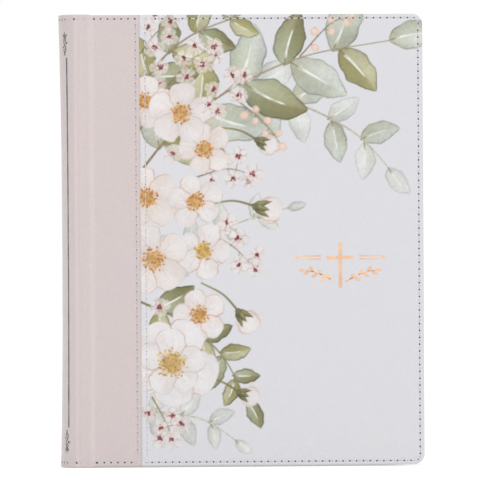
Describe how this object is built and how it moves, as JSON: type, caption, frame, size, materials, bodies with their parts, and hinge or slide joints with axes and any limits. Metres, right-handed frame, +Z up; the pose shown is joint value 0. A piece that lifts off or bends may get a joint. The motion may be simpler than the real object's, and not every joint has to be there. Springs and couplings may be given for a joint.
{
  "type": "hardback book",
  "caption": "Quarter-bound hardback devotional book with a floral printed panel, rounded leather spine, hinged covers and a block that opens in the middle.",
  "frame": {"origin": "bottom centre of the closed book standing on its tail edge", "axes": "+Z up to the head, +X from the spine to the fore-edge, front cover facing -Y"},
  "size_m": [0.1735, 0.038, 0.216],
  "materials": {
    "page_paper": "matte",
    "endpaper": "matte",
    "greyboard": "matte",
    "filler_card": "matte",
    "printed_panel_leather": "satin",
    "white_leather": "satin",
    "pink_leather": "satin",
    "headband_cloth": "matte",
    "stitch_thread": "satin",
    "binding_cloth": "matte",
    "sewing_thread": "matte",
    "rose_gold_foil": "polished",
    "silver_foil": "polished"
  },
  "bodies": {
    "rear_block": {"section_07": "page_paper", "section_08": "page_paper", "section_09": "page_paper", "section_10": "page_paper", "section_11": "page_paper", "section_12": "page_paper", "back_flyleaf": "endpaper", "back_joint_leather": "pink_leather", "rear_sewing_tapes": "binding_cloth", "rear_kettle_threads": "sewing_thread", "rear_mull": "binding_cloth", "rear_spine_liner": "filler_card", "rear_headband": "headband_cloth", "rear_tailband": "headband_cloth", "rear_spine_leather": "pink_leather", "rear_spine_foil": "silver_foil", "rear_spine_end_stitching": "stitch_thread"},
    "front_block": {"section_01": "page_paper", "section_02": "page_paper", "section_03": "page_paper", "section_04": "page_paper", "section_05": "page_paper", "section_06": "page_paper", "front_flyleaf": "endpaper", "front_joint_leather": "pink_leather", "front_sewing_tapes": "binding_cloth", "front_kettle_threads": "sewing_thread", "front_mull": "binding_cloth", "front_spine_liner": "filler_card", "front_headband": "headband_cloth", "front_tailband": "headband_cloth", "front_spine_leather": "pink_leather", "front_spine_foil": "silver_foil", "front_spine_end_stitching": "stitch_thread"},
    "front_cover": {"front_board": "greyboard", "front_board_infill": "filler_card", "front_quarter_leather": "pink_leather", "front_printed_panel": "printed_panel_leather", "front_pastedown": "endpaper", "front_edge_stitching": "stitch_thread", "front_seam_stitches_leather_side": "stitch_thread", "front_seam_stitches_panel_side": "stitch_thread", "front_foil_mark": "rose_gold_foil"},
    "back_cover": {"back_board": "greyboard", "back_board_infill": "filler_card", "back_quarter_leather": "pink_leather", "back_panel": "white_leather", "back_pastedown": "endpaper", "back_edge_stitching": "stitch_thread", "back_seam_stitches_leather_side": "stitch_thread", "back_seam_stitches_panel_side": "stitch_thread"},
    "centre_leaf_a": {"centre_leaf_rear": "page_paper"},
    "centre_leaf_b": {"centre_leaf_front": "page_paper"}
  },
  "joints": [
    {"name": "book_opening", "type": "hinge", "parent": "rear_block", "child": "front_block", "pos_m": [-0.0868, 0, 0.108], "axis": [0, 0, -1], "range_deg": [0, 180]},
    {"name": "front_cover_hinge", "type": "hinge", "parent": "front_block", "child": "front_cover", "pos_m": [-0.07955, -0.01905, 0.108], "axis": [0, 0, -1], "range_deg": [0, 180], "deforming": ["front_joint_leather"]},
    {"name": "back_cover_hinge", "type": "hinge", "parent": "rear_block", "child": "back_cover", "pos_m": [-0.07955, 0.01905, 0.108], "axis": [0, 0, 1], "range_deg": [0, 180], "deforming": ["back_joint_leather"]},
    {"name": "centre_leaf_a_turn", "type": "hinge", "parent": "rear_block", "child": "centre_leaf_a", "pos_m": [-0.0868, 0, 0.108], "axis": [0, 0, -1], "range_deg": [0, 63]},
    {"name": "centre_leaf_b_turn", "type": "hinge", "parent": "rear_block", "child": "centre_leaf_b", "pos_m": [-0.0868, 0, 0.108], "axis": [0, 0, -1], "range_deg": [0, 117]}
  ],
  "couplings": [
    {"joint": "centre_leaf_a_turn", "follows": "book_opening", "ratio": 0.35},
    {"joint": "centre_leaf_b_turn", "follows": "book_opening", "ratio": 0.65}
  ]
}
